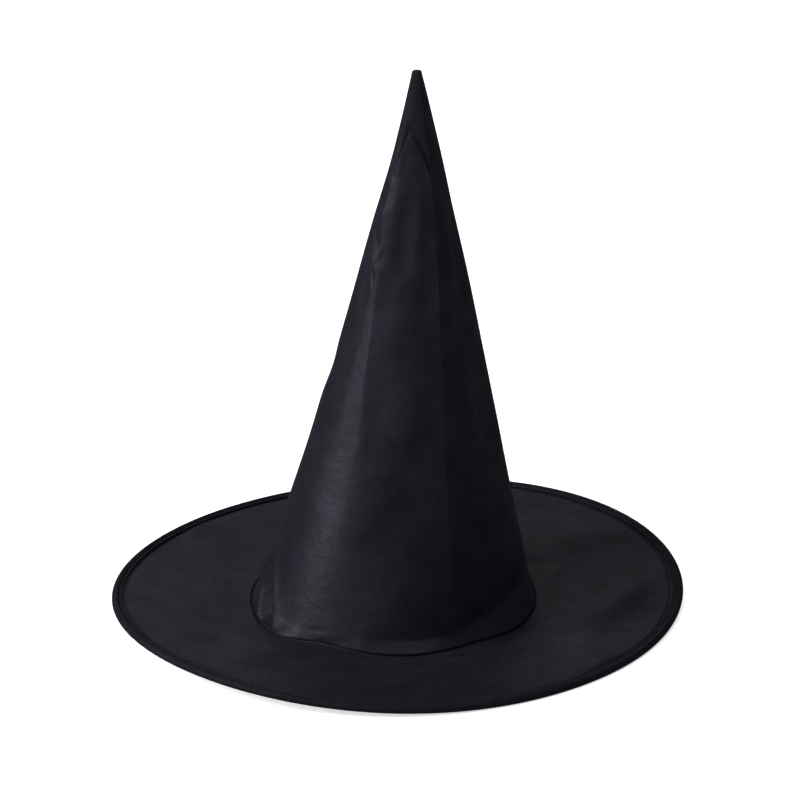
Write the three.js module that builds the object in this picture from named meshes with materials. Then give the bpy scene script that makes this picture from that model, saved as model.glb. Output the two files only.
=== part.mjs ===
// Pointed witch hat: a cloth cone over a stiff interlining, sewn to a three-ply round brim whose
// bound edge carries a spring-steel hoop. Millimetres, +Z up. The origin is the middle of the brim
// on the surface the hat stands on, and the hat's front faces -Y.
import * as THREE from 'three';

// ---- Driving dimensions ---------------------------------------------------------------------
const BRIM_DIAMETER = 330;
const HAT_HEIGHT = 340;
const CROWN_BASE_RADIUS = 81;      // outside of the crown cloth where it meets the brim
const TIP_RADIUS = 2.6;            // the point is sewn off blunt
const CROWN_WAIST = 12;            // how far the cone's side is hollowed: four times its mid-height dip

const CLOTH = 0.35;                // Oxford polyester
const BRIM_STIFFENER = 0.5;
const CROWN_STIFFENER = 0.6;
const BINDING_TAPE = 0.4;
const BAND_TAPE = 0.5;
const SEAM_TAPE = 0.3;
const THREAD = 0.4;                // sewing thread's diameter

const GAP = 0.3;                   // air between plies that lie against each other
const THREAD_GAP = 0.1;

const HOOP_WIRE_RADIUS = 0.8;
const SLEEVE_WALL = 0.4;
const SLEEVE_LENGTH = 14;
const HOOP_END_GAP = 0.6;          // between the wire's two ends, inside the sleeve
const CASING_EASE = 0.1;           // slack of the round casing that the binding forms over the hoop
const LIP_WIDTH = 1.5;             // binding that reaches past the casing on to the cloth
const LIP_STITCH = 0.9;            // stitch line, from the lip's inner edge

const COLLAR_HEIGHT = 8;           // brim cloth clipped and turned up inside the crown
const BAND_HEIGHT = 25;
const BAND_STITCH = 3;             // stitch line, up from the head band's lower edge
const SEAM_TAPE_WIDTH = 12;
const TIP_LENGTH = 40;             // the part above the kink
const CREASE_LENGTH = 24;          // the unstiffened cloth that the tip folds at
const STIFFENER_SHORT = 8;         // how far below that the crown's interlining stops
const HEM_TURN = 3;                // the cone's closed end, turned in below the very point

// The hat's posture, as it stands: the crown leans, and the hoop has sprung a little out of flat.
const BASE_OFFSET = new THREE.Vector2(-2.75, -1);
const LEAN_RIGHT = 19.35;
const LEAN_FORWARD = 27;
const LEAN_FORWARD_POWER = 2.7;
const HOOP_LIFT = 6.9;             // highest part of the rim above its two low places
const LOW_PLACE = THREE.MathUtils.degToRad(130.3);
const FLAT_SHARE = 0.02;           // share of the lift's curve that lies flat on the surface
const LIFT_POWER = 1.5;

// ---- Resolution -----------------------------------------------------------------------------
const SEGMENTS = 48;
const HOOP_SEGMENTS = 96;          // finer, because the sleeve fits the wire closely
const CROWN_STEPS = 5;
const BRIM_STEPS = 3;
const THREAD_SIDES = 4;
const WIRE_SIDES = 8;

// ---- Worked-out places ----------------------------------------------------------------------
const RIM = BRIM_DIAMETER / 2;
const STACK = 2 * CLOTH + BRIM_STIFFENER + 2 * GAP;
const SLEEVE_ROOM = HOOP_WIRE_RADIUS + GAP + SLEEVE_WALL + GAP + BINDING_TAPE;
const STITCH_ROOM = STACK / 2 + GAP + BINDING_TAPE + THREAD_GAP + THREAD;
const CASING_RADIUS = Math.max(SLEEVE_ROOM, STITCH_ROOM) + CASING_EASE;
const CASING_R = RIM - CASING_RADIUS;
const LIP_EDGE = RIM - 2 * CASING_RADIUS - LIP_WIDTH;
const PLY_EDGE = RIM - 2 * CASING_RADIUS - GAP;

const UNDER_Z = CASING_RADIUS - STACK / 2;
const STIFFENER_Z = UNDER_Z + CLOTH + GAP;
const TOP_Z = STIFFENER_Z + BRIM_STIFFENER + GAP;
const CROWN_Z = TOP_Z + CLOTH + GAP;
const LIP_UNDER_Z = UNDER_Z - GAP;                  // upper face of the binding's lower lip
const LIP_OVER_Z = TOP_Z + CLOTH + GAP + BINDING_TAPE;

// Depths inside the crown cloth's outer face, one ply after another.
const STIFFENER_IN = CLOTH + GAP;
const LINED_IN = STIFFENER_IN + CROWN_STIFFENER + GAP;
const UNDER_COLLAR_IN = LINED_IN + CLOTH + GAP;
const BAND_IN = UNDER_COLLAR_IN + CLOTH + GAP;
const COLLAR_TOP = CROWN_Z + COLLAR_HEIGHT;
const CREASE_TOP = HAT_HEIGHT - TIP_LENGTH;
const CREASE_BOTTOM = CREASE_TOP - CREASE_LENGTH;
const STIFFENER_TOP = CREASE_BOTTOM - STIFFENER_SHORT;
const BAND_TOP = UNDER_Z + BAND_HEIGHT;
const BAND_STITCH_Z = UNDER_Z + BAND_STITCH;

// Outside radius of the crown at height z.
function crownRadius(z) {
  const t = z / HAT_HEIGHT;
  return CROWN_BASE_RADIUS * (1 - t) + TIP_RADIUS * t - CROWN_WAIST * t * (1 - t);
}

function crownAxis(z) {
  const t = THREE.MathUtils.clamp(z / HAT_HEIGHT, 0, 1);
  return new THREE.Vector2(
    BASE_OFFSET.x + LEAN_RIGHT * Math.sin((Math.PI / 2) * t),
    BASE_OFFSET.y - LEAN_FORWARD * t ** LEAN_FORWARD_POWER,
  );
}

// Height of the rim above the surface, at angle phi around the brim.
function rimLift(phi) {
  const s = Math.sin(phi - LOW_PLACE) ** 2;
  return HOOP_LIFT * (Math.max(0, s - FLAT_SHARE) / (1 - FLAT_SHARE)) ** LIFT_POWER;
}

// Every piece is modelled straight and round, and this puts it into the hat's posture.
function settle(geometry) {
  const p = geometry.attributes.position;
  for (let i = 0; i < p.count; i += 1) {
    const [x, y, z] = [p.getX(i), p.getY(i), p.getZ(i)];
    const r = Math.hypot(x, y);
    const out = THREE.MathUtils.clamp((r - CROWN_BASE_RADIUS) / (RIM - CROWN_BASE_RADIUS), 0, 1);
    const axis = crownAxis(z).multiplyScalar(1 - out);
    const lift = rimLift(Math.atan2(y, x)) * out ** LIFT_POWER;
    p.setXYZ(i, x + axis.x, y + axis.y, z + lift);
  }
  geometry.computeVertexNormals();
  return geometry;
}

// A ring whose section is a closed outline of [radius, height] points, counter-clockwise.
function ring(outline) {
  const closed = [...outline, outline[0]].map(([r, z]) => new THREE.Vector2(r, z));
  return new THREE.LatheGeometry(closed, SEGMENTS).rotateX(Math.PI / 2);
}

function steps(from, to, count) {
  return Array.from({ length: count + 1 }, (_, i) => from + ((to - from) * i) / count);
}

// A tube of crown cloth: its outer face lies `inset` inside the crown's outside.
function coneWall(from, to, inset, thickness, count) {
  const zs = steps(from, to, count);
  const outer = zs.map((z) => [crownRadius(z) - inset, z]);
  const inner = zs.map((z) => [crownRadius(z) - inset - thickness, z]).reverse();
  return ring([...outer, ...inner]);
}

// A brim ply, thickness up from z, whose inner edge turns up inside the crown at depth `inset`.
function collaredPly(z, inset) {
  const bend = crownRadius(z) - inset;
  const rs = steps(CROWN_BASE_RADIUS, PLY_EDGE, BRIM_STEPS);
  const collar = crownRadius(COLLAR_TOP) - inset;
  const under = [bend - CLOTH, ...rs].map((r) => [r, z]);
  const top = [bend, ...rs].map((r) => [r, z + CLOTH]).reverse();
  return ring([...under, ...top, [collar, COLLAR_TOP], [collar - CLOTH, COLLAR_TOP]]);
}

function flatPly(z, thickness, inner) {
  const rs = steps(inner, PLY_EDGE, BRIM_STEPS);
  return ring([...rs.map((r) => [r, z]), ...rs.map((r) => [r, z + thickness]).reverse()]);
}

// The binding's tape, folded round the hoop with its two lips over the plies. The casing is an
// octagon with a flat underside; `inset` 0 is the tape's outside and BINDING_TAPE its inside.
function casingOutline(inset, lipZ) {
  const apothem = CASING_RADIUS - inset;
  const corner = apothem / Math.cos(Math.PI / 8);
  const arc = steps(-5 * Math.PI / 8, 5 * Math.PI / 8, 5).map((a) => [
    CASING_R + corner * Math.cos(a), CASING_RADIUS + corner * Math.sin(a),
  ]);
  const shoulder = arc[0][0] - (lipZ - arc[0][1]);
  const mirrorZ = 2 * CASING_RADIUS - lipZ;
  return [[LIP_EDGE, lipZ], [shoulder, lipZ], ...arc, [shoulder, mirrorZ], [LIP_EDGE, mirrorZ]];
}

function bindingTape() {
  const outside = casingOutline(0, LIP_UNDER_Z - BINDING_TAPE);
  const inside = casingOutline(BINDING_TAPE, LIP_UNDER_Z).reverse();
  return ring([...outside, ...inside]);
}

function threadRing(radius, z) {
  const outline = steps(0, 2 * Math.PI, THREAD_SIDES).slice(0, THREAD_SIDES).map((a) => [
    radius + (THREAD / 2) * Math.cos(a), z + (THREAD / 2) * Math.sin(a),
  ]);
  return ring(outline);
}

// Part of a circle round the brim, at the hoop's radius and height. It starts and ends at the back.
class HoopPath extends THREE.Curve {
  constructor(start, sweep) {
    super();
    this.start = start;
    this.sweep = sweep;
  }

  getPoint(t, target = new THREE.Vector3()) {
    const a = this.start + this.sweep * t;
    return target.set(CASING_R * Math.cos(a), CASING_R * Math.sin(a), CASING_RADIUS);
  }
}

function disc(radius) {
  const corners = steps(0, 2 * Math.PI, WIRE_SIDES).slice(0, WIRE_SIDES);
  return corners.map((a) => new THREE.Vector2(radius * Math.cos(a), radius * Math.sin(a)));
}

function sweepAlong(shape, path, count) {
  return new THREE.ExtrudeGeometry(shape, { steps: count, extrudePath: path, bevelEnabled: false });
}

function hoopWire() {
  const halfGap = HOOP_END_GAP / 2 / CASING_R;
  const path = new HoopPath(Math.PI / 2 + halfGap, 2 * Math.PI - 2 * halfGap);
  return sweepAlong(new THREE.Shape(disc(HOOP_WIRE_RADIUS)), path, HOOP_SEGMENTS);
}

function crimpSleeve() {
  const bore = HOOP_WIRE_RADIUS + GAP;
  const section = new THREE.Shape(disc(bore + SLEEVE_WALL));
  section.holes.push(new THREE.Path(disc(bore)));
  const sweep = SLEEVE_LENGTH / CASING_R;
  return sweepAlong(section, new HoopPath(Math.PI / 2 - sweep / 2, sweep), 2);
}

// A strip on the inside of the crown's back, `inset` in from the cloth's outer face.
function backStrip(width, thickness, inset, from, to) {
  const box = new THREE.BoxGeometry(width, thickness, to - from, 2, 1, CROWN_STEPS);
  const p = box.attributes.position;
  for (let i = 0; i < p.count; i += 1) {
    const z = from + (to - from) * (p.getZ(i) / (to - from) + 0.5);
    const r = crownRadius(z) - inset - thickness / 2 + p.getY(i);
    const a = Math.PI / 2 - p.getX(i) / r;
    p.setXYZ(i, r * Math.cos(a), r * Math.sin(a), z);
  }
  return box;
}

// The cone's last stretch, closed at the point over the seam's turned-in end.
function tipCone() {
  const inside = steps(HAT_HEIGHT - HEM_TURN, CREASE_TOP + GAP, 2).map((z) => [crownRadius(z) - CLOTH, z]);
  const outside = steps(CREASE_TOP + GAP, HAT_HEIGHT, 2).map((z) => [crownRadius(z), z]);
  const outline = [[0, HAT_HEIGHT - HEM_TURN], ...inside, ...outside, [0, HAT_HEIGHT]];
  return new THREE.LatheGeometry(outline.map(([r, z]) => new THREE.Vector2(r, z)), SEGMENTS)
    .rotateX(Math.PI / 2);
}

// ---- Assembly -------------------------------------------------------------------------------
const BLACK_CLOTH = { color: '#16161d', roughness: 0.62, metalness: 0 };
const BLACK_NON_WOVEN = { color: '#1c1c20', roughness: 0.9, metalness: 0 };
const BLACK_TAPE = { color: '#101014', roughness: 0.7, metalness: 0 };
const BLACK_THREAD = { color: '#0c0c10', roughness: 0.5, metalness: 0 };
const STEEL = { color: '#9a9ca0', roughness: 0.35, metalness: 1 };
const BRASS = { color: '#b08d4a', roughness: 0.4, metalness: 1 };

const hat = new THREE.Group();

function add(name, geometry, finish) {
  const mesh = new THREE.Mesh(settle(geometry), new THREE.MeshStandardMaterial(finish));
  mesh.name = name;
  hat.add(mesh);
}

// Crown: cloth in three stretches of one cone, lined by the interlining up to just below the kink.
add('crown_cone', coneWall(CROWN_Z, CREASE_BOTTOM, 0, CLOTH, CROWN_STEPS), BLACK_CLOTH);
add('crown_crease', coneWall(CREASE_BOTTOM + GAP, CREASE_TOP, 0, CLOTH, 2), BLACK_CLOTH);
add('crown_tip', tipCone(), BLACK_CLOTH);
add('crown_interlining',
  coneWall(CROWN_Z, STIFFENER_TOP, STIFFENER_IN, CROWN_STIFFENER, CROWN_STEPS), BLACK_NON_WOVEN);

// Back seam: a tape over its pressed-open turnings, and the thread that closes it.
const TAPE_FROM = COLLAR_TOP + GAP;
add('crown_seam_tape',
  backStrip(SEAM_TAPE_WIDTH, SEAM_TAPE, LINED_IN, TAPE_FROM, STIFFENER_TOP), BLACK_TAPE);
add('back_seam_thread',
  backStrip(THREAD, THREAD, LINED_IN + SEAM_TAPE + THREAD_GAP, TAPE_FROM, STIFFENER_TOP),
  BLACK_THREAD);

// Brim: two cloth discs with their collars turned up into the crown, and the stiffener between.
add('brim_top_cloth', collaredPly(TOP_Z, LINED_IN), BLACK_CLOTH);
add('brim_interlining', flatPly(STIFFENER_Z, BRIM_STIFFENER, CROWN_BASE_RADIUS), BLACK_NON_WOVEN);
add('brim_under_cloth', collaredPly(UNDER_Z, UNDER_COLLAR_IN), BLACK_CLOTH);

// Edge: binding folded over the plies and round the hoop, whose ends meet in a crimped sleeve.
add('edge_binding', bindingTape(), BLACK_TAPE);
add('brim_hoop', hoopWire(), STEEL);
add('hoop_sleeve', crimpSleeve(), BRASS);

// Head band, and the visible runs of thread.
add('head_band', coneWall(UNDER_Z, BAND_TOP, BAND_IN, BAND_TAPE, 2), BLACK_TAPE);
const THREAD_OFF = THREAD_GAP + THREAD / 2;
const BAND_FACE = crownRadius(BAND_STITCH_Z) - BAND_IN - BAND_TAPE;
add('edge_needle_thread', threadRing(LIP_EDGE + LIP_STITCH, LIP_OVER_Z + THREAD_OFF), BLACK_THREAD);
add('edge_bobbin_thread', threadRing(LIP_EDGE + LIP_STITCH, LIP_UNDER_Z - BINDING_TAPE - THREAD_OFF),
  BLACK_THREAD);
add('crown_joint_thread', threadRing(crownRadius(CROWN_Z) + THREAD_OFF + THREAD_GAP, TOP_Z + CLOTH + THREAD_OFF),
  BLACK_THREAD);
add('head_band_thread', threadRing(BAND_FACE - THREAD_OFF, BAND_STITCH_Z), BLACK_THREAD);

export default hat;
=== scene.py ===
import bpy
import numpy as np
from mathutils import Matrix, Vector


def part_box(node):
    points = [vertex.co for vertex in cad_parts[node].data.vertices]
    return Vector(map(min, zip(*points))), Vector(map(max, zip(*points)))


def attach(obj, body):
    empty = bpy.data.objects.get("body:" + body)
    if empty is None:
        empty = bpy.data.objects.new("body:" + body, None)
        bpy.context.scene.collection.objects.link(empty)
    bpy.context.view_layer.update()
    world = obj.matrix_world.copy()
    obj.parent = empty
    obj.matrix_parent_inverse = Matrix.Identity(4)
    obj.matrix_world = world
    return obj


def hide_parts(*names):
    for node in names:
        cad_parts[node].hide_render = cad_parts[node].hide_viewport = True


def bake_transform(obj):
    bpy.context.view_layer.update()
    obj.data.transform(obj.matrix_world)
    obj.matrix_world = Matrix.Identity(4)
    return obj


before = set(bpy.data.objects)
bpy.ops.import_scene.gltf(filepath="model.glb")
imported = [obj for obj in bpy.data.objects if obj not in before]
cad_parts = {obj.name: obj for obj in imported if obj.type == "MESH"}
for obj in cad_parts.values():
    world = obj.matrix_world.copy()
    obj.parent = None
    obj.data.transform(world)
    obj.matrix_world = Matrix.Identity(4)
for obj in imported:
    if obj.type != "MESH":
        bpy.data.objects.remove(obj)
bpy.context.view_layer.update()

# ----------------------------------------------------------------------
# Studio. A white table lit from beneath, a tall soft light at the hat's left, wide dim ones in
# front and behind, and a pale ceiling: the black cloth is drawn by its sheen. The camera stands
# well back with a long lens, a little above the hat, and is rolled by a degree.
MM = 0.001
CAMERA_DISTANCE = 9000.0
CAMERA_HEIGHT_ANGLE = 24.0
CAMERA_ROLL = 1.11
LENS = 702.7
SENSOR = 36.0
AIM_RIGHT, AIM_UP = 1.32, 115.0        # from the brim's middle, in the camera's own plane
FLOOR_SIZE = 40.0                      # metres, as are the lights' places and sizes
TABLE_GLOW, ROOM_GLOW = 0.62, 0.055
CEILING_STRENGTH, CEILING_SPREAD = 1.45, 48.0
CEILING_WAY = (0.14, 0.1, -1.0)


def linear(code):
    """sRGB hex to linear red, green, blue and an alpha of 1."""
    srgb = np.array([int(code[i:i + 2], 16) for i in (1, 3, 5)]) / 255
    rgb = np.where(srgb <= 0.04045, srgb / 12.92, ((srgb + 0.055) / 1.055) ** 2.4)
    return (*rgb.tolist(), 1.0)


def node(tree, kind, sockets=None, **settings):
    """Adds one node. settings are its properties; sockets maps an input to a value, to an output
    or to a node, whose first output it then takes."""
    made = tree.nodes.new(kind)
    for key, value in settings.items():
        setattr(made, key, value)
    for socket, value in (sockets or {}).items():
        if isinstance(value, bpy.types.Node):
            value = value.outputs[0]
        if isinstance(value, bpy.types.NodeSocket):
            tree.links.new(value, made.inputs[socket])
        else:
            made.inputs[socket].default_value = value
    return made


def new_material(name):
    """An empty material and its node tree."""
    material = bpy.data.materials.new(name)
    material.use_nodes = True
    material.node_tree.nodes.clear()
    return material, material.node_tree


def finish_with(tree, shader):
    """Ends a node tree with its surface shader."""
    node(tree, "ShaderNodeOutputMaterial", {"Surface": shader})


def placed(name, data):
    """A new object with that data, put in the scene."""
    made = bpy.data.objects.new(name, data)
    bpy.context.collection.objects.link(made)
    return made


def lit_acrylic():
    """Opal acrylic sheet lit from beneath, the top of a product table: it glows evenly white, with
    only a soft grain in it."""
    material, tree = new_material("opal_acrylic_lit_from_below")
    place = node(tree, "ShaderNodeTexCoord")
    grain = node(tree, "ShaderNodeTexNoise", {"Vector": place.outputs["Object"], "Scale": 6.0})
    tint = node(tree, "ShaderNodeMix", {"Factor": grain, "A": linear("#f4f4f4"),
                                        "B": linear("#fbfbfb")}, data_type="RGBA")
    finish_with(tree, node(tree, "ShaderNodeBsdfPrincipled", {
        "Base Color": tint.outputs["Result"], "Roughness": 0.9,
        "Emission Color": tint.outputs["Result"], "Emission Strength": TABLE_GLOW}))
    return material


bpy.ops.mesh.primitive_plane_add(size=FLOOR_SIZE)
floor = bpy.context.object
floor.name = "floor"
floor.data.materials.append(lit_acrylic())
floor.visible_glossy = False


def softbox(name, azimuth, height, distance, size, watts, aim_height):
    """A rectangular light standing at azimuth (from +X, anticlockwise), height and distance,
    turned to a point of the hat's middle line."""
    data = bpy.data.lights.new(name, "AREA")
    data.shape = "RECTANGLE"
    data.size, data.size_y = size
    data.energy = watts
    lamp = placed(name, data)
    turn = np.radians(azimuth)
    lamp.location = (distance * np.cos(turn), distance * np.sin(turn), height)
    aim = Vector((0, 0, aim_height)) - lamp.location
    lamp.rotation_euler = aim.to_track_quat("-Z", "Y").to_euler()


softbox("key_left", -171, 0.56, 1.3, (0.36, 0.8), 21.5, 0.24)
softbox("front_fill", -128, 0.5, 2.2, (1.2, 1.2), 18, 0.1)
softbox("right_fill", -50, 2.0, 1.2, (1.0, 1.0), 8, 0.05)
softbox("back_sheen", 96, 1.0, 2.0, (1.4, 0.8), 1.9, 0.0)

# The ceiling's light is the same everywhere on the floor, as under a wide white bounce.
ceiling = placed("ceiling_bounce", bpy.data.lights.new("ceiling_bounce", "SUN"))
ceiling.data.angle = np.radians(CEILING_SPREAD)
ceiling.data.energy = CEILING_STRENGTH
ceiling.rotation_euler = Vector(CEILING_WAY).to_track_quat("-Z", "Y").to_euler()

world = bpy.data.worlds.new("studio")
world.use_nodes = True
bpy.context.scene.world = world
room = world.node_tree.nodes["Background"].inputs
room["Color"].default_value = linear("#ffffff")
room["Strength"].default_value = ROOM_GLOW

camera = placed("camera", bpy.data.cameras.new("camera"))
camera.data.lens = LENS
camera.data.sensor_width = SENSOR
camera.data.clip_end = 100.0
tilt = np.radians(CAMERA_HEIGHT_ANGLE)
roll = np.radians(CAMERA_ROLL)
level_up = np.array([0, np.sin(tilt), np.cos(tilt)])
level_right = np.array([1.0, 0, 0])
frame_right = level_right * np.cos(roll) - level_up * np.sin(roll)
frame_up = level_right * np.sin(roll) + level_up * np.cos(roll)
stand = CAMERA_DISTANCE * np.array([0, -np.cos(tilt), np.sin(tilt)])
aim = AIM_RIGHT * frame_right + AIM_UP * frame_up
back = stand - aim
back = back / np.linalg.norm(back)
right = np.cross(frame_up, back)
right = right / np.linalg.norm(right)
turned = Matrix(np.column_stack([right, np.cross(back, right), back]).tolist())
camera.matrix_world = Matrix.Translation(Vector((stand * MM).tolist())) @ turned.to_4x4()
bpy.context.scene.camera = camera
bpy.context.scene.view_settings.view_transform = "Standard"

# ----------------------------------------------------------------------
# Crown cloth. One fan-shaped panel of Oxford polyester closed by a seam down the back. It is
# pressed on to its lining, so it hangs in long flat panels with soft ridges between them, one of
# them sharp, and it buckles at the kink where the lining ends and the point leans over.
rim_low, rim_high = (np.array(corner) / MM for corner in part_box("edge_binding"))
HEIGHT = np.array(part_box("crown_tip")[1])[2] / MM
RIM = (rim_high[0] - rim_low[0]) / 2
BASE_RADIUS = 81.0
TIP_RADIUS = 2.6
WAIST = 12.0
BASE_OFFSET = (-2.75, -1.0)
LEAN_RIGHT = 19.35
LEAN_FORWARD = 27.0
LEAN_POWER = 2.7
CLOTH = 0.35
BACK = 90.0                            # the angle of the back seam; the front is at -90

# The foot seam: angle round the crown, radius and height. It is pulled in at either side of the
# front, and the corners beyond bulge over it.
SEAM = np.array([
    (-180, 80.8, 3.3), (-165, 81.6, 3.1), (-150, 83.8, 2.7), (-141, 84.6, 2.6), (-132, 80.4, 3.4),
    (-122, 78.2, 4.2), (-113, 78.8, 3.7), (-101, 80.7, 2.8), (-89, 82.3, 2.1), (-78, 83.2, 2.2),
    (-62, 82.8, 3.2), (-54, 82.2, 3.8), (-45, 84.0, 3.1), (-35, 85.1, 2.6), (-21, 83.9, 2.9),
    (-3, 81.1, 3.2), (14, 81.6, 3.2), (30, 84.5, 3.0), (60, 82.5, 3.2), (90, 81.0, 3.3),
    (120, 81.2, 3.3), (150, 82.1, 3.3), (180, 80.8, 3.3)])


def turn_from(angle, middle):
    """Signed angle from middle to angle, wrapped to the half turn either side."""
    return (angle - middle + 180) % 360 - 180


def ease(x, low, high):
    """0 below low and 1 above high, with a smooth cubic step between."""
    t = np.clip((x - low) / (high - low), 0, 1)
    return t * t * (3 - 2 * t)


def bell(x, width):
    """A Gaussian bell of height 1 whose standard deviation is width."""
    return np.exp(-0.5 * (x / width) ** 2)


def round_curve(table, angle, spread):
    """A smooth closed curve through (angle, value) rows: straight between them, then averaged
    under a bell that is spread degrees wide."""
    fine = np.arange(-180, 180, 0.5)
    values = np.interp(fine, table[:, 0], table[:, 1])
    window = bell(turn_from(fine, 0), spread)
    smooth = np.fft.ifft(np.fft.fft(values) * np.fft.fft(np.fft.ifftshift(window))).real
    smooth = smooth / window.sum()
    return np.interp(turn_from(angle, 0), np.append(fine, 180), np.append(smooth, smooth[0]))


def seam_radius(angle):
    """Radius of the foot seam: the smooth curve through its rows."""
    return round_curve(SEAM[:, [0, 1]], angle, 3.0)


def seam_height(angle):
    """Height of the foot seam: the smooth curve through its rows."""
    return round_curve(SEAM[:, [0, 2]], angle, 3.0)


def plain_radius(z):
    """Radius of the untroubled cone: a straight taper, hollowed a little at mid-height."""
    t = z / HEIGHT
    return BASE_RADIUS * (1 - t) + TIP_RADIUS * t - WAIST * t * (1 - t)


def axis(z):
    """x and y of the leaning centre line: it goes to the right by a quarter of a sine wave, and
    forward by a power of the height."""
    t = np.clip(z / HEIGHT, 0, 1)
    return (BASE_OFFSET[0] + LEAN_RIGHT * np.sin(np.pi / 2 * t),
            BASE_OFFSET[1] - LEAN_FORWARD * t ** LEAN_POWER)


def plan(angle, radius, x=0.0, y=0.0):
    """Position in plan, at that angle and radius from the point x, y."""
    a = np.radians(angle)
    return x + radius * np.cos(a), y + radius * np.sin(a)


def panelled(angle, ridges, sharpness):
    """Radius of a polygon with its corners, at the ridge angles, on the unit circle. Each side is
    a straight line, 1 over a cosine, and a power mean of the sides rounds the corners while
    it keeps their radius."""
    total = 0
    for here, after in zip(ridges, np.roll(ridges, -1, axis=0)):
        half = ((after - here) % 360) / 2
        away = turn_from(angle, here + half)
        side = np.cos(np.radians(half)) / np.maximum(np.cos(np.radians(away)), 0.05)
        total = total + side ** -sharpness
    return (total / 2) ** (-1 / sharpness)


# Ridges between the pressed panels: height, angle. The others run straight up. Between the two on
# the left lies a narrow facet that catches the light, widest at about a quarter of the height.
RIGHT_RIDGE = np.array([(0, -66), (60, -64.5), (140, -65.5), (212, -62.5), (250, -61),
                        (300, -60)])
LEFT_INNER = np.array([(0, -126), (50, -124), (80, -121), (121, -123), (150, -128), (180, -131),
                       (200, -135), (215, -138), (262, -141), (300, -148)])
LEFT_OUTER = np.array([(0, -140), (50, -143), (80, -147), (121, -146), (150, -147), (180, -143),
                       (198, -141), (214, -158), (232, -172), (300, -178)])
SIDE_RIDGES = (6, 62, 118, 176)
POINT_RIDGES = (-142, -63, 6, 90, 176)

# How sharply the panels turn at a ridge, as the power in panelled: everywhere, more at the right
# ridge and along the firm part of the left inner one, less where the cloth there has crumpled,
# and in the point. Then how far the cone is flattened into panels: at its foot, more above the
# foot, and in the point. Each (low, high) pair is where one of these comes in or goes out.
SOFT_TURN, RIGHT_TURN, LEFT_TURN, CRUMPLED_TURN, POINT_TURN = 20, 110, 80, 14, 40
FOOT_FLAT, WALL_FLAT, POINT_FLAT = 0.2, 0.55, 0.6
FIRM_IN, FIRM_OUT, CRUMPLED_IN = (90, 150), (205, 222), (205, 225)
WALL_IN, POINT_IN = (20, 90), (288, 302)

# The arch in which the front panel ends under the kink: its top and its middle's angle, how far
# round the right shoulder and the slack left side reach and how far they drop, and the step in
# the cloth along it: its rise inside, its dip outside, and where it comes in and goes out.
ARCH_TOP, ARCH_MIDDLE = 300.5, -123
SHOULDER_REACH, SHOULDER_DROP = 63, 31
SLACK_REACH, SLACK_DROP, SLACK_POWER = 33, 30.5, 1.2
STEP_UP, STEP_DIP = 0.52, 0.78
STEP_IN, STEP_TOP, STEP_LEFT = (225, 262), 302, (-50, -14)

# Dents and slow swells that pressing leaves: angle, height, rise, half-widths in degrees and mm.
DENTS = (
    (-149, 254, 1.0, 8, 6), (-144, 241, 0.6, 5, 5), (-153, 223, 0.8, 6, 6),
    (-150, 233, -0.7, 5, 5), (-154, 208, -1.2, 6, 6), (-140, 262, -0.4, 6, 5),
    (178, 205, 2.3, 17, 42), (-178, 148, -1.2, 8, 8), (-172, 130, 0.8, 11, 12),
    (-100, 150, 0.4, 20, 60), (-104, 225, -0.5, 10, 24), (-92, 92, -0.6, 9, 30),
    (-116, 52, 0.6, 8, 22), (-40, 60, -0.8, 14, 26), (-20, 200, -0.7, 12, 30),
    (-34, 128, 0.6, 9, 26),
    (120, 120, -1.4, 18, 40), (60, 200, 0.8, 16, 36), (40, 90, 1.0, 18, 30),
    (150, 230, -0.7, 14, 22), (100, 40, -0.8, 10, 18), (170, 70, 0.8, 10, 30))

# Sharp creases where the cloth has crumpled above the left ridge, and along the foot: from
# (angle, height) to (angle, height), rise, half-width.
CREASES = (
    ((-137, 203), (-154, 224), -0.9, 1.4), ((-143, 216), (-139, 240), 0.5, 1.4),
    ((-148, 230), (-168, 242), -0.8, 1.3), ((-141, 246), (-160, 258), 0.7, 1.4),
    ((-144, 264), (-164, 250), -0.7, 1.2), ((-153, 214), (-170, 226), 0.7, 1.6),
    ((-166, 205), (-150, 196), -0.6, 1.5), ((-140, 228), (-156, 218), 0.6, 1.2),
    ((-138, 270), (-154, 278), -0.7, 1.2), ((-176, 158), (-163, 146), -0.45, 1.5),
    ((-170, 138), (-156, 128), 0.35, 1.8), ((-58, 246), (-50, 232), -0.35, 1.4),
    ((-50, 214), (-38, 200), 0.3, 1.6), ((-112, 318), (-120, 306), 0.35, 0.9),
    ((-98, 300), (-76, 290), -0.45, 1.2), ((-60, 312), (-40, 300), 0.35, 1.2),
    ((-46, 70), (-30, 50), 0.35, 2.2), ((-28, 84), (-40, 104), -0.3, 2.2),
    ((-134, 9.5), (-118, 10.5), -0.7, 2.4), ((-127, 5.5), (-106, 4.0), 0.5, 1.6),
    ((-100, 9), (-82, 11), -0.3, 2.2), ((150, 170), (120, 150), -0.6, 2.0),
    ((70, 110), (40, 96), 0.5, 2.2), ((62, 240), (86, 226), -0.45, 1.6),
    ((112, 70), (140, 84), 0.45, 2.4), ((20, 150), (36, 172), -0.4, 1.8),
    ((128, 262), (104, 250), 0.4, 1.3), ((54, 30), (80, 36), -0.5, 2.2))

# How far up the foot flares, and the line of the fold that runs down to the seam at the left:
# angle, height.
FLARE = np.array([(-180, 19), (-160, 11), (-143, 6), (-122, 5), (-100, 7), (-65, 7), (-54, 9),
                  (-36, 16), (-6, 18), (30, 12), (90, 9), (150, 13), (180, 19)])
FOLD_LINE = np.array([(-205, 34), (-186, 33), (-177, 31), (-168, 25), (-160, 14), (-154, 5),
                      (-148, 0)])
FLARE_POWER = 1.15

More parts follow.
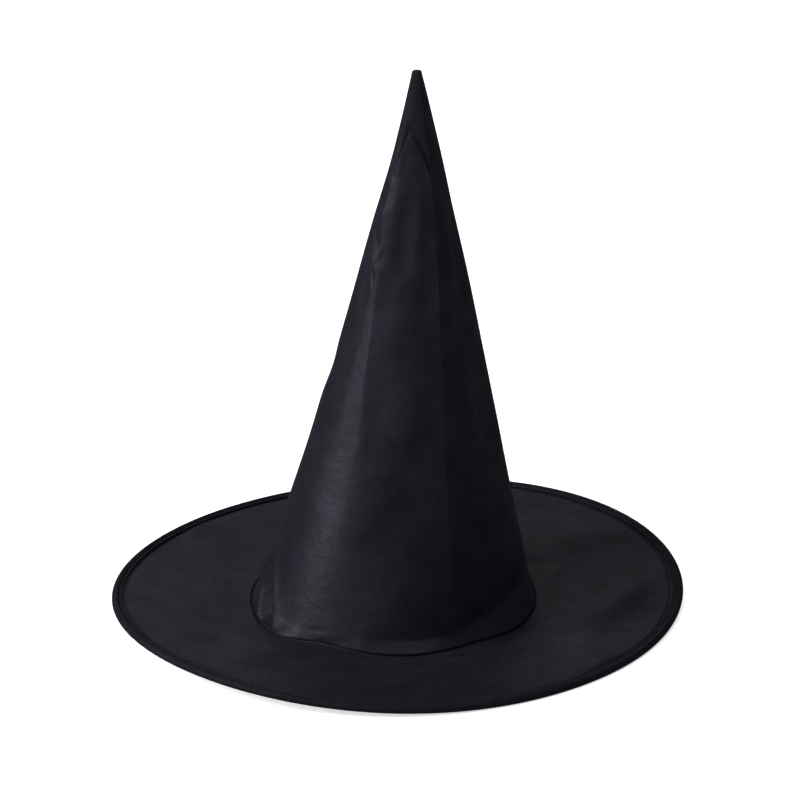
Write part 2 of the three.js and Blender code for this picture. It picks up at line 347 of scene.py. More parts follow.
# The fold's section, in mm up from its line and square to it: a low roll, a flat-bottomed valley
# and a bulge, each as middle, rise, half-width and the power of its bell.
FOLD_SLANT = 0.75
FOLD_SECTION = ((7.0, 1.3, 2.8, 2), (-1.0, -5.0, 3.3, 4), (-8.0, 2.6, 2.2, 2))
FOLD_START, FOLD_END = (-200, -170), (-152, -142)
GATHER_DEPTH, GATHER_COUNT = 0.2, 23
PUCKER, PUCKER_AWAY, PUCKER_PITCH = 0.16, 2.4, 7.5
CHANNEL, CHANNEL_WIDTH = 0.75, 0.8


def arch_inside(angle, z):
    """Distance in mm inside the front panel's upper outline: a pointed arch with a round right
    shoulder and a slack left one, closed on the right by the right ridge."""
    over = turn_from(angle, ARCH_MIDDLE)
    round_side = np.sqrt(np.clip(1 - (over / SHOULDER_REACH) ** 2, 0, 1))
    right = ARCH_TOP - SHOULDER_DROP * (1 - round_side)
    left = ARCH_TOP - SLACK_DROP * np.clip(-over / SLACK_REACH, 0, 2) ** SLACK_POWER
    arch = np.where(over > 0, right, left)
    to_right = np.interp(z, *RIGHT_RIDGE.T) - ARCH_MIDDLE - over
    return np.minimum(arch - z, to_right * np.radians(1) * plain_radius(z))


def creased(angle, z):
    """Sum of the listed creases: each falls away exponentially with the distance from its line,
    and dies out towards the line's two ends."""
    total = 0
    per_degree = np.radians(1) * plain_radius(z)
    for (from_angle, from_z), (to_angle, to_z), rise, width in CREASES:
        arc = turn_from(angle, from_angle) * per_degree
        up = z - from_z
        middle_radius = plain_radius((from_z + to_z) / 2)
        run = np.radians(turn_from(to_angle, from_angle)) * middle_radius
        length = np.hypot(run, to_z - from_z)
        along = (arc * run + up * (to_z - from_z)) / length
        across = (arc * (to_z - from_z) - up * run) / length
        ends = bell(2 * along / length - 1, 0.45)
        total = total + rise * np.exp(-np.hypot(across, 0.25) / width) * ends
    return total


def crown_radius(angle, z):
    """Radius of the pressed and buckled cone at angle and height z: the plain cone flattened into
    panels, a flat-sided point, the front panel proud under the kink, dents, creases and waves."""
    right_ridge = np.interp(z, *RIGHT_RIDGE.T)
    inner, outer = np.interp(z, *LEFT_INNER.T), np.interp(z, *LEFT_OUTER.T)
    ridges = np.array(np.broadcast_arrays(outer, inner, right_ridge, *SIDE_RIDGES))
    firm = ease(z, *FIRM_IN) * (1 - ease(z, *FIRM_OUT))
    sharpness = (SOFT_TURN + RIGHT_TURN * bell(turn_from(angle, right_ridge), 9)
                 + LEFT_TURN * firm * bell(turn_from(angle, inner), 9)
                 - CRUMPLED_TURN * ease(z, *CRUMPLED_IN) * bell(turn_from(angle, inner), 16))
    body = panelled(angle, ridges, sharpness)
    point = panelled(angle, np.array(np.broadcast_arrays(*POINT_RIDGES, z)[:-1]), POINT_TURN)
    flatness = FOOT_FLAT + WALL_FLAT * ease(z, *WALL_IN)
    above = ease(z, *POINT_IN)
    radius = plain_radius(z) * (1 - flatness * (1 - body) * (1 - above)
                                - POINT_FLAT * (1 - point) * above)
    inside = arch_inside(angle, z)
    over_edge = ease(inside, -0.6, 0.9)
    step = STEP_UP * over_edge - STEP_DIP * (1 - over_edge) * bell(np.minimum(inside, 0), 6)
    reaches = ease(z, *STEP_IN) * bell(np.maximum(z - STEP_TOP, 0), 8)
    reaches = reaches * ease(turn_from(angle, ARCH_MIDDLE), *STEP_LEFT)
    radius = radius + step * reaches
    for middle, height, rise, wide, tall in DENTS:
        radius = radius + rise * bell(turn_from(angle, middle), wide) * bell(z - height, tall)
    a = np.radians(angle)
    waves = 0.3 * np.sin(3 * a + z / 23) + 0.2 * np.sin(7 * a - z / 17 + 1.0)
    return radius + creased(angle, z) + waves * ease(z, 10, 40) * (1 - ease(z, 240, 290))


def foot_spread(angle, z):
    """How far the foot stands outside the cone's wall: from the seam's own radius it falls to
    nothing at the top of the flare, by a power of the height. The fold crosses the flare at the
    left as a sum of bells, and short gathers stand over the stitches."""
    low = seam_height(angle)
    reach = seam_radius(angle) - crown_radius(angle, low)
    rise = np.maximum(z - low, 0)
    flare = round_curve(FLARE, angle, 6.0)
    spread = reach * np.clip(1 - rise / flare, 0, 1) ** FLARE_POWER
    turned = turn_from(angle, -170) - 170
    away = (z - np.interp(turned, *FOLD_LINE.T)) * FOLD_SLANT
    fold = sum(deep * np.exp(-0.5 * ((away - middle) / width) ** power)
               for middle, deep, width, power in FOLD_SECTION)
    fold = fold * ease(turned, *FOLD_START) * (1 - ease(turned, *FOLD_END))
    gathers = GATHER_DEPTH * np.sin(np.radians(angle) * GATHER_COUNT) * bell(rise - 3, 3)
    return spread + (fold + gathers) * (1 - np.exp(-rise / 1.5))


def seam_pull(angle, z):
    """The back seam lies in a shallow channel, and its stitches pucker the cloth beside it."""
    away = np.radians(turn_from(angle, BACK)) * plain_radius(z)
    beside = bell(np.abs(away) - PUCKER_AWAY, 1.4)
    pucker = PUCKER * beside * np.sin(2 * np.pi * z / PUCKER_PITCH)
    return pucker - CHANNEL * bell(away, CHANNEL_WIDTH)


def crown_wall(angle, z, inset=0.0):
    """Points of the crown at angle and height, inset from its outer face. The radius is measured
    from the leaning centre line."""
    radius = crown_radius(angle, z) + foot_spread(angle, z) + seam_pull(angle, z) - inset
    return np.stack([*plan(angle, radius, *axis(z)), z], -1)


def add_mesh(name, vertices, faces, corner_uv):
    """A smooth-shaded object from vertices, lists of their numbers and the UV of each corner in
    the faces' order."""
    mesh = bpy.data.meshes.new(name)
    mesh.from_pydata((vertices * MM).tolist(), [], faces)
    layer = mesh.uv_layers.new(name="cut")
    layer.data.foreach_set("uv", (corner_uv * MM).astype(np.float32).ravel())
    mesh.polygons.foreach_set("use_smooth", np.ones(len(faces), bool))
    return placed(name, mesh)


def sheet_mesh(name, points, uv, closed=True, pole=None):
    """A mesh over a grid of points (rows, columns, 3), whose faces look along column step x row
    step. closed joins the last column to the first; uv has a column more there, so that the
    pattern may break at the join. pole closes the last row with a fan."""
    rows, columns = points.shape[:2]
    spans = columns if closed else columns - 1
    row, column = np.meshgrid(np.arange(rows - 1), np.arange(spans), indexing="ij")
    after = (column + 1) % columns
    quads = np.stack([row * columns + column, row * columns + after,
                      (row + 1) * columns + after, (row + 1) * columns + column], -1)
    rows_of = np.stack([row, row, row + 1, row + 1], -1)
    columns_of = np.stack([column, column + 1, column + 1, column], -1)
    faces = quads.reshape(-1, 4).tolist()
    corner_uv = uv[rows_of, columns_of].reshape(-1, 2)
    vertices = points.reshape(-1, 3)
    if pole is not None:
        last = (rows - 1) * columns
        ring = np.arange(spans)
        fan = np.stack([last + ring, last + (ring + 1) % columns,
                        np.full(spans, len(vertices))], -1)
        vertices = np.vstack([vertices, pole])
        faces += fan.tolist()
        fan_uv = np.stack([uv[-1, ring], uv[-1, ring + 1], uv[-1, ring]], 1)
        corner_uv = np.vstack([corner_uv, fan_uv.reshape(-1, 2)])
    return add_mesh(name, vertices, faces, corner_uv)


def finish_sheet(piece, material, thickness):
    """Gives a sheet its material, and its thickness behind the face that its normals point
    from."""
    piece.data.materials.append(material)
    wall = piece.modifiers.new("thickness", "SOLIDIFY")
    wall.thickness = thickness * MM
    wall.offset = -1


def spaced(low, high, count, crowds):
    """count values from low to high, crowded around each (middle, width, how many times denser)."""
    fine = np.linspace(low, high, 4001)
    density = 1 + sum((times - 1) * bell(fine - middle, width) for middle, width, times in crowds)
    total = np.cumsum(density)
    total = (total - total[0]) / (total[-1] - total[0])
    return np.interp(np.linspace(0, 1, count), total, fine)


def repeat(tree, distance, pitch):
    """A sine that comes round once in every pitch."""
    turns = node(tree, "ShaderNodeMath", {0: distance, 1: 2 * np.pi / pitch},
                 operation="MULTIPLY")
    return node(tree, "ShaderNodeMath", {0: turns}, operation="SINE")


def add_up(tree, first, *parts):
    """first plus each (pattern, weight) pair's product."""
    for pattern, weight in parts:
        first = node(tree, "ShaderNodeMath", {0: pattern, 1: weight, 2: first},
                     operation="MULTIPLY_ADD")
    return first


def dyed(tree, tone, low, high, dark, light):
    """The colour between two shades, as tone goes from low to high."""
    share = node(tree, "ShaderNodeMapRange", {"Value": tone, "From Min": low, "From Max": high})
    return node(tree, "ShaderNodeMix", {"Factor": share, "A": linear(dark), "B": linear(light)},
                data_type="RGBA").outputs["Result"]


def streaks(tree, place, along, across):
    """Noise drawn out along one set of threads: along and across are its sizes in metres."""
    stretched = node(tree, "ShaderNodeMapping", {"Vector": place,
                                                 "Scale": (1 / across, 1 / along, 1 / across)})
    return node(tree, "ShaderNodeTexNoise", {"Vector": stretched, "Scale": 1.0, "Detail": 2.0})


def woven_polyester(name, dark, light, sheen, pitch, roughness, depth, gloss_level=0.12):
    """Oxford polyester: a basket weave of bright filament yarn, dyed black, whose height is the
    product of a sine along each set of threads. The threads are 0.4 mm apart, too fine to show,
    so they are drawn at pitch. It gives fine tooth, faint slubs both ways, small crumples and a
    soft grey sheen. A painted highlight, given by a mesh attribute, lightens the colour along
    folds and on the foot's flare and makes them a little glossier. The dye keeps its specular,
    gloss_level, low and a little violet."""
    material, tree = new_material(name)
    place = node(tree, "ShaderNodeUVMap", uv_map="cut")
    # Painted highlight: a mesh attribute, 1 where light catches the cloth, that lightens its
    # colour.
    painted_highlight = node(tree, "ShaderNodeAttribute", attribute_name="painted_highlight").outputs["Fac"]
    split = node(tree, "ShaderNodeSeparateXYZ", {0: place}).outputs
    weave = node(tree, "ShaderNodeMath", {0: repeat(tree, split["X"], pitch),
                                          1: repeat(tree, split["Y"], pitch)},
                 operation="MULTIPLY")
    slubs = node(tree, "ShaderNodeMath", {0: streaks(tree, place, 0.03, 0.0012),
                                          1: streaks(tree, place, 0.0012, 0.03)},
                 operation="ADD")
    mottle = node(tree, "ShaderNodeTexNoise", {"Vector": place, "Scale": 55.0, "Detail": 4.0})
    # The colour's tone: mottle, slubs and weave, with the painted highlight added on top.
    tone = add_up(tree, mottle, (slubs, 0.35), (weave, 0.12), (painted_highlight, 0.45))
    low, high = 0.55, 1.15
    gloss = node(tree, "ShaderNodeMapRange", {
        "Value": tone, "From Min": low, "From Max": high,
        "To Min": roughness + 0.05, "To Max": roughness - 0.05})
    tooth = add_up(tree, weave, (slubs, 1.2))
    crumple = node(tree, "ShaderNodeTexNoise", {"Vector": place, "Scale": 110.0, "Detail": 5.0})
    fine = node(tree, "ShaderNodeBump", {"Height": tooth, "Distance": depth, "Strength": 1.0})
    bent = node(tree, "ShaderNodeBump", {"Height": crumple, "Distance": 0.0011,
                                         "Strength": 0.5, "Normal": fine})
    finish_with(tree, node(tree, "ShaderNodeBsdfPrincipled", {
        "Base Color": dyed(tree, tone, low, high, dark, light), "Roughness": gloss,
        "Normal": bent, "Specular IOR Level": gloss_level,
        "Specular Tint": linear("#ecebff"), "Sheen Weight": sheen,
        "Sheen Roughness": 0.45, "Sheen Tint": linear("#8c8ca6")}))
    return material


oxford = woven_polyester("black_oxford_polyester", "#0a090d", "#16141d", 0.05,
                         pitch=0.0012, roughness=0.46, depth=0.00003)

CROWN_COLUMNS, CROWN_ROWS = 256, 186
BLUNT_EDGE = 0.5
# Painted highlight on the foot's flare: the angle where it is strongest, its half-width, and the
# share it keeps elsewhere round the foot.
FLARE_HIGHLIGHT_MIDDLE, FLARE_HIGHLIGHT_WIDTH, FLARE_HIGHLIGHT_LEAST = -28, 24, 0.15
round_crown = spaced(BACK, BACK + 360, CROWN_COLUMNS + 1, (
    (295, 5, 4), (236, 14, 1.8), (205, 20, 2.2), (BACK, 3, 4), (BACK + 360, 3, 4)))
levels = spaced(0.0, 1.0, CROWN_ROWS, (
    (0.0, 0.05, 3.2), (0.68, 0.07, 1.6), (0.86, 0.035, 3.0), (1.0, 0.02, 3.0)))
angle, level = np.meshgrid(round_crown, levels)
height = seam_height(angle) + (HEIGHT - seam_height(angle)) * level
crown_points = crown_wall(angle[:, :-1], height[:, :-1])

# The foot is rolled in under itself along the seam, and the point is sewn off blunt: rings below
# the first row and above the last one draw them shut, each a share of the radius and a rise. The
# wall's own last row is let down by BLUNT_EDGE, which rounds the end off.
foot, top_row = crown_points[0], crown_points[-1].copy()
middle_low = np.array([*axis(0), 0])
middle_top = np.array([*axis(HEIGHT), HEIGHT])
rolled = [foot + ((foot - middle_low) * (1, 1, 0)) * (share - 1) + (0, 0, rise)
          for share, rise in ((0.984, 0.9), (0.987, 0.25), (0.994, -0.1))]
shut = [middle_top + (top_row - middle_top) * share + (0, 0, rise)
        for share, rise in ((0.86, -0.1), (0.6, 0.0))]
crown_points[-1, :, 2] -= BLUNT_EDGE
crown_points = np.concatenate([np.array(rolled), crown_points, np.array(shut)])

# Its pattern piece is a sector: distance from the cone's apex, and the angle unrolled round it.
TAPER = (BASE_RADIUS - TIP_RADIUS) / HEIGHT
SINE = TAPER / np.hypot(1, TAPER)
slant = plain_radius(height) / SINE
opened = np.radians(angle - 270) * SINE
cut = np.stack([slant * np.sin(opened), -slant * np.cos(opened)], -1)
cut = np.concatenate([cut[:1]] * len(rolled) + [cut] + [cut[-1:]] * len(shut))

crown_cloth = sheet_mesh("crown_cloth", crown_points, cut, pole=middle_top)
finish_sheet(crown_cloth, oxford, CLOTH)

# Painted highlight: the cloth's colour is lightened where light catches it, along the arch's
# edge, faintly down the right ridge, and on the flare of the foot, mostly round its right side.
arch_edge = bell(arch_inside(angle, height) - 0.3, 0.6) * ease(height, 235, 255)
from_ridge = turn_from(angle, np.interp(height, *RIGHT_RIDGE.T))
ridge_edge = 0.2 * bell(from_ridge, 1.6) * (1 - ease(height, 262, 276))
up_the_flare = (height - seam_height(angle)) / round_curve(FLARE, angle, 6.0)
flare_highlight_round = bell(turn_from(angle, FLARE_HIGHLIGHT_MIDDLE), FLARE_HIGHLIGHT_WIDTH)
flare_highlight = (1 - ease(up_the_flare, 0.7, 1.0)) * (FLARE_HIGHLIGHT_LEAST + (1 - FLARE_HIGHLIGHT_LEAST) * flare_highlight_round)
highlight_mask = np.clip(arch_edge + ridge_edge + flare_highlight, 0, 1)[:, :-1]
painted_highlight = np.concatenate([np.zeros(len(rolled) * CROWN_COLUMNS), highlight_mask.ravel(),
                      np.zeros(len(shut) * CROWN_COLUMNS + 1)])
crown_cloth.data.attributes.new("painted_highlight", "FLOAT", "POINT").data.foreach_set(
    "value", painted_highlight.astype(np.float32))

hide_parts("crown_cone", "crown_crease", "crown_tip")
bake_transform(crown_cloth)

# ----------------------------------------------------------------------
# Crown interlining. Stiff black non-woven, pressed inside the cloth from the foot to just under
# the kink. It keeps the cone standing; the point above it is limp.
CROWN_STIFFENER = 0.6
LINING_INSET = 0.65
LINING_TOP = 268.0
LINING_CLEAR = 1.2                     # from the foot seam up to its cut edge


def non_woven(name, dark, light):
    """Bonded polyester felt: fibres pressed flat every way. They give a matt, flecked grey-black
    face with no grain direction. Real fibres are 0.02 mm; they are drawn as 0.8 mm flecks."""
    material, tree = new_material(name)
    place = node(tree, "ShaderNodeTexCoord").outputs["Object"]
    flecks = node(tree, "ShaderNodeTexNoise", {"Vector": place, "Scale": 1200.0, "Detail": 3.0,
                                               "Roughness": 0.7})
    clouds = node(tree, "ShaderNodeTexNoise", {"Vector": place, "Scale": 140.0})
    tone = add_up(tree, flecks, (clouds, 0.4))
    fluff = node(tree, "ShaderNodeBump", {"Height": flecks, "Distance": 0.0002})
    finish_with(tree, node(tree, "ShaderNodeBsdfPrincipled", {
        "Base Color": dyed(tree, tone, 0.45, 0.95, dark, light), "Roughness": 0.92,
        "Normal": fluff, "Specular IOR Level": 0.2}))
    return material


felt = non_woven("black_non_woven_stiffener", "#131316", "#26262b")


def fixed(piece, stands_for):
    """Has a piece ride on the hat's body in place of its solid."""
    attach(piece, "hat")
    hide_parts(stands_for)


def once_round(count):
    """Angles of count equal steps round the crown, from the back seam and back to it."""
    return np.linspace(BACK, BACK + 360, count + 1)


lining_angles, lining_levels = np.meshgrid(once_round(180),
                                           spaced(0.0, 1.0, 90, ((0.0, 0.08, 2.5),)))
lining_foot = seam_height(lining_angles) + LINING_CLEAR
lining_z = lining_foot + (LINING_TOP - lining_foot) * lining_levels
lining_points = crown_wall(lining_angles[:, :-1], lining_z[:, :-1], LINING_INSET)
lining_uv = np.stack([np.radians(lining_angles) * plain_radius(lining_z), lining_z], -1)
crown_lining = sheet_mesh("crown_interlining_pressed", lining_points, lining_uv)
finish_sheet(crown_lining, felt, CROWN_STIFFENER)
fixed(crown_lining, "crown_interlining")

# ----------------------------------------------------------------------
# Back seam. A woven tape covers its turnings on the inside, from the collars up to the lining's
# top, and a row of lockstitch holds them down.
TAPE_WIDTH, TAPE_THICKNESS, TAPE_INSET = 12.0, 0.3, 1.55
COLLAR_TOP = 11.5
TAPE_FOOT = COLLAR_TOP + 0.3
THREAD_RADIUS = 0.2
STITCH_SHARE = 0.8                     # of the pitch; the rest is the hole the thread goes into
STITCH_RINGS, STITCH_SIDES = 6, 6

cotton_tape = woven_polyester("black_twill_tape", "#101014", "#1c1c22", 0.04,
                              pitch=0.0011, roughness=0.7, depth=0.00008)


def sewing_thread(name, dark, light):
    """Spun polyester sewing thread: two plies twisted together. The twist gives slanting light and
    dark bands, 0.5 mm apart, across each stitch."""
    material, tree = new_material(name)
    place = node(tree, "ShaderNodeUVMap", uv_map="cut")
    split = node(tree, "ShaderNodeSeparateXYZ", {0: place}).outputs
    slant_way = node(tree, "ShaderNodeMath", {0: split["X"], 1: split["Y"]}, operation="ADD")
    twist = repeat(tree, slant_way, 0.0005)
    plies = node(tree, "ShaderNodeBump", {"Height": twist, "Distance": 0.00005})
    finish_with(tree, node(tree, "ShaderNodeBsdfPrincipled", {
        "Base Color": dyed(tree, twist, -1.0, 1.0, dark, light), "Roughness": 0.55,
        "Normal": plies, "Specular IOR Level": 0.35}))
    return material


thread_black = sewing_thread("black_polyester_thread", "#0b0b0f", "#1b1b22")


def stitch_row(name, stands_for, path, out, lift):
    """Lockstitches along a path of points (stitches + 1, 3), standing off along out: each is a
    short tube whose middle stands lift above the path and whose ends dive into the cloth, both
    by the fourth power of the distance from its middle."""
    middle = (path[1:] + path[:-1]) / 2
    along = path[1:] - path[:-1]
    out = np.broadcast_to(out, along.shape)
    across = np.cross(along, out)
    across = across / np.linalg.norm(across, axis=1)[:, None]
    t = np.linspace(-1, 1, STITCH_RINGS)[:, None]
    turn = np.linspace(0, 2 * np.pi, STITCH_SIDES, endpoint=False)[None, :]
    width = THREAD_RADIUS * np.sqrt(1.02 - t ** 4)
    rise = lift - (lift + THREAD_RADIUS) * t ** 4
    place = along[:, None, None] * (t * STITCH_SHARE / 2)[None, :, :, None]
    round_up = out[:, None, None] * (rise + width * np.sin(turn))[None, :, :, None]
    round_side = across[:, None, None] * (width * np.cos(turn))[None, :, :, None]
    points = middle[:, None, None] + place + round_up + round_side
    stitch, ring, side = np.meshgrid(np.arange(len(middle)), np.arange(STITCH_RINGS - 1),
                                     np.arange(STITCH_SIDES), indexing="ij")
    first = (stitch * STITCH_RINGS + ring) * STITCH_SIDES
    after = (side + 1) % STITCH_SIDES
    quads = np.stack([first + side, first + after, first + STITCH_SIDES + after,
                      first + STITCH_SIDES + side], -1).reshape(-1, 4)
    ends = STITCH_RINGS * STITCH_SIDES * np.arange(len(middle))[:, None]
    last_ring = ends + (STITCH_RINGS - 1) * STITCH_SIDES
    caps = np.concatenate([ends + np.arange(STITCH_SIDES)[::-1],
                           last_ring + np.arange(STITCH_SIDES)])
    spot = np.stack(np.broadcast_arrays(t * 1.5, turn * THREAD_RADIUS), -1).reshape(-1, 2)
    corners = np.concatenate([quads.ravel(), caps.ravel()])
    row = add_mesh(name, points.reshape(-1, 3), quads.tolist() + caps.tolist(),
                   spot[corners % (STITCH_RINGS * STITCH_SIDES)])
    row.data.materials.append(thread_black)
    fixed(row, stands_for)


tape_z, tape_across = np.meshgrid(np.linspace(TAPE_FOOT, LINING_TOP, 120),
                                  np.linspace(TAPE_WIDTH / 2, -TAPE_WIDTH / 2, 11), indexing="ij")
tape_angle = BACK + np.degrees(tape_across / (crown_radius(BACK, tape_z) - TAPE_INSET))
tape_points = crown_wall(tape_angle, tape_z, TAPE_INSET)
seam_tape = sheet_mesh("crown_seam_tape_sewn", tape_points[:, ::-1],
                       np.stack([tape_across, tape_z], -1), closed=False)
finish_sheet(seam_tape, cotton_tape, TAPE_THICKNESS)
fixed(seam_tape, "crown_seam_tape")

BACK_STITCH = 3.0
seam_z = np.arange(TAPE_FOOT + 1, LINING_TOP - 1, BACK_STITCH)
seam_path = crown_wall(np.full(len(seam_z), BACK), seam_z, TAPE_INSET + TAPE_THICKNESS)
stitch_row("back_seam_stitches", "back_seam_thread", seam_path, (0.0, -1.0, 0.0), 0.12)

# ----------------------------------------------------------------------
# Brim plies. Two discs of the same cloth with a disc of stiffening between them; each cloth is
# clipped and turned up inside the crown as a collar. The hoop has sprung a little out of flat,
# and the plies ride over it in slow waves, with cross wrinkles where the crown pulls on them.
HOOP_LIFT = 6.9
LOW_PLACE = 130.3
FLAT_SHARE = 0.02
LIFT_POWER = 1.5
PLY_EDGE = 160.1
TOP_FACE, STIFFENER_FACE, UNDER_FACE = 3.2, 2.55, 1.75
BRIM_STIFFENER = 0.5
SEAM_GROOVE = 0.6                      # from the crown's foot down to the brim beside it
SEAM_PINCH = 0.2                       # share of the plies' stack that the seam squeezes out
SEAM_ALLOWANCE = 0.4                   # the plies start this far inside the foot seam's radius
COLLAR_BEND = 0.8                      # height that the turn up into the collar takes

# The top cloth sinks in a narrow ditch beside the foot seam and beside the binding's lip, which
# lies LIP_REACH in from the plies' edge: depth, distance from it and half-width.
SEAM_DITCH, LIP_DITCH = (0.9, 0.6, 0.5), (0.6, 0.0, 0.7)
LIP_REACH = 1.9
TOP_COLLAR_INSET, UNDER_COLLAR_INSET = 1.55, 2.2

# The brim's own swells and wrinkles: place, rise, half-widths along and across, turn of the long
# way from +X.
SWELLS = (
    (-108, 98, 2.2, 34, 7, 133), (-128, -22, 2.0, 34, 14, 95), (-88, -92, 1.5, 40, 12, 45),
    (98, 62, 2.2, 34, 12, 20), (126, -20, 3.4, 24, 8, 62), (104, -84, 1.6, 38, 12, 130),
    (0, -128, 1.2, 60, 11, 0), (-10, 130, 1.6, 60, 11, 0), (-20, -98, 0.8, 34, 2.6, 3),
    (12, -106, 0.7, 40, 2.6, -2), (-4, -114, 0.5, 36, 3.0, 1), (48, -88, 0.7, 20, 2.4, 22),
    (-52, -86, 0.7, 18, 2.4, -28), (90, 24, 1.4, 16, 4.5, 70), (-104, 20, 1.0, 16, 5, 100))

# The hoop isn't quite round either: angle, and how far it is drawn in there.
OUT_OF_ROUND = np.array([(-180, 0.2), (-90, 0.0), (0, 0.3), (38, 2.2), (80, 2.6), (126, 3.2),
                         (158, 0.8), (180, 0.2)])


def drawn_in(angle):
    """How far the rim is drawn in: the smooth curve through the hoop's rows."""
    return round_curve(OUT_OF_ROUND, angle, 9.0)


def rim_lift(x, y):
    """Height that the sprung hoop adds at a point of the brim: a sine squared round the rim, flat
    at its low places, growing with a power of the distance out from the crown."""
    s = np.sin(np.arctan2(y, x) - np.radians(LOW_PLACE)) ** 2
    out = np.clip((np.hypot(x, y) - BASE_RADIUS) / (RIM - BASE_RADIUS), 0, 1)
    raised = np.maximum(0, s - FLAT_SHARE) / (1 - FLAT_SHARE)
    return HOOP_LIFT * raised ** LIFT_POWER * out ** LIFT_POWER


def swells(x, y):
    """Sum of the listed swells, each a bell along its long way times a bell across it."""
    total = 0
    for middle_x, middle_y, rise, long_way, short_way, turned in SWELLS:
        a = np.radians(turned)
        u = (x - middle_x) * np.cos(a) + (y - middle_y) * np.sin(a)
        v = -(x - middle_x) * np.sin(a) + (y - middle_y) * np.cos(a)
        total = total + rise * bell(u, long_way) * bell(v, short_way)
    return total


def brim_points(angle, out, face):
    """Points of a brim ply whose face is at that flat height: out is 0 at the foot seam and 1 at
    the ply's edge. The height goes from the seam's to the edge's by the square of the distance,
    with the hoop's lift and the swells on it, less the ditches, which fade from the top cloth's
    face to nothing at the under cloth's."""
    inner_x, inner_y = plan(angle, seam_radius(angle) - SEAM_ALLOWANCE, *axis(0))
    edge = PLY_EDGE - drawn_in(angle)
    edge_x, edge_y = plan(angle, edge)
    x = inner_x + (edge_x - inner_x) * out
    y = inner_y + (edge_y - inner_y) * out
    held = ease(out, 0.0, 0.14) * (1 - ease(out, 0.9, 1.0))
    inner_z = seam_height(angle) - SEAM_GROOVE - TOP_FACE
    depth = (TOP_FACE - face) * (1 - SEAM_PINCH * (1 - out) ** 6)
    ply_width = edge - BASE_RADIUS
    ditch = sum(deep * bell(away - middle, width) for away, (deep, middle, width) in (
        (out * ply_width, SEAM_DITCH), ((1 - out) * ply_width - LIP_REACH, LIP_DITCH)))
    ditch = ditch * max((face - UNDER_FACE) / (TOP_FACE - UNDER_FACE), 0)
    z = TOP_FACE - depth + inner_z * (1 - out) ** 2 + rim_lift(x, y) + swells(x, y) * held - ditch
    return np.stack([x, y, z], -1)


def collar_points(angle, rise, face, inset):
    """Points of the ply's turned-up collar: rise is 0 at the bend and 1 at its raw edge."""
    bend_z = seam_height(angle) - SEAM_GROOVE - (TOP_FACE - face) * (1 - SEAM_PINCH)
    z = bend_z + COLLAR_BEND + (COLLAR_TOP - bend_z - COLLAR_BEND) * rise
    return crown_wall(angle, z, inset)


brim_out = spaced(0.0, 1.0, 72, ((0.0, 0.04, 5.0), (0.98, 0.02, 4.0)))
brim_round = once_round(288)


def brim_ply(name, stands_for, face, inset, thickness, material, faces_up):
    """One ply, from its edge in to the seam and, where inset is given, up the collar. Its cut
    pattern is its own plan."""
    angles, out = np.meshgrid(brim_round, brim_out)
    rows = brim_points(angles, out, face)
    if inset is not None:
        angles, rise = np.meshgrid(brim_round, np.linspace(1, 0, 7))
        rows = np.concatenate([collar_points(angles, rise, face, inset), rows])
    if faces_up:
        rows = rows[::-1]
    ply = sheet_mesh(name, rows[:, :-1], rows[..., :2])
    finish_sheet(ply, material, thickness)
    fixed(ply, stands_for)
    return ply


brim_ply("brim_top_cloth_sewn", "brim_top_cloth", TOP_FACE, TOP_COLLAR_INSET, CLOTH,
         oxford, True)
brim_ply("brim_interlining_cut", "brim_interlining", STIFFENER_FACE, None,
         BRIM_STIFFENER, felt, True)
brim_under = brim_ply("brim_under_cloth_sewn", "brim_under_cloth", UNDER_FACE - CLOTH,
                      UNDER_COLLAR_INSET + CLOTH, CLOTH, oxford, False)

# ----------------------------------------------------------------------
# Foot seam. Crown and brim are sewn together with lockstitch in black polyester thread, which
# lies in the groove between them.
JOINT_STITCH = 3.2
JOINT_OUT = 0.004                      # share of the brim's width from its inner edge


def evenly_round(radius, pitch):
    """Angles that divide a circle of that radius into a whole number of stitches."""
    count = round(2 * np.pi * radius / pitch)
    return np.linspace(0, 360, count + 1)


joint_angles = evenly_round(BASE_RADIUS, JOINT_STITCH)
joint_path = brim_points(joint_angles, np.full(len(joint_angles), JOINT_OUT), TOP_FACE)
stitch_row("crown_joint_stitches", "crown_joint_thread", joint_path, (0.0, 0.0, 1.0), 0.1)

# ----------------------------------------------------------------------
# Head band. A grosgrain ribbon sewn over the collars inside the opening, so that no raw edge
# meets the head. One row of lockstitch runs near its lower edge.
BAND_TOP = 26.4
BAND_INSET, BAND_THICKNESS = 2.85, 0.5
BAND_STITCH_RISE = 3.0
BAND_DROP = 1.6                        # of its lower edge below the foot seam


def grosgrain(name, dark, light):
    """Polyester grosgrain: fine warp over thick weft cords, which give straight ribs across the
    ribbon. They are 0.8 mm apart and are drawn at 1.6 mm."""
    material, tree = new_material(name)
    place = node(tree, "ShaderNodeUVMap", uv_map="cut")
    along = node(tree, "ShaderNodeSeparateXYZ", {0: place}).outputs["X"]
    tone = add_up(tree, streaks(tree, place, 0.0006, 0.02), (repeat(tree, along, 0.0016), 0.25))
    cords = node(tree, "ShaderNodeBump", {"Height": tone, "Distance": 0.0003})
    finish_with(tree, node(tree, "ShaderNodeBsdfPrincipled", {
        "Base Color": dyed(tree, tone, 0.2, 0.8, dark, light), "Roughness": 0.5,
        "Normal": cords, "Specular IOR Level": 0.35, "Sheen Weight": 0.08}))
    return material


ribbon = grosgrain("black_grosgrain_ribbon", "#0f0f13", "#1f1f26")

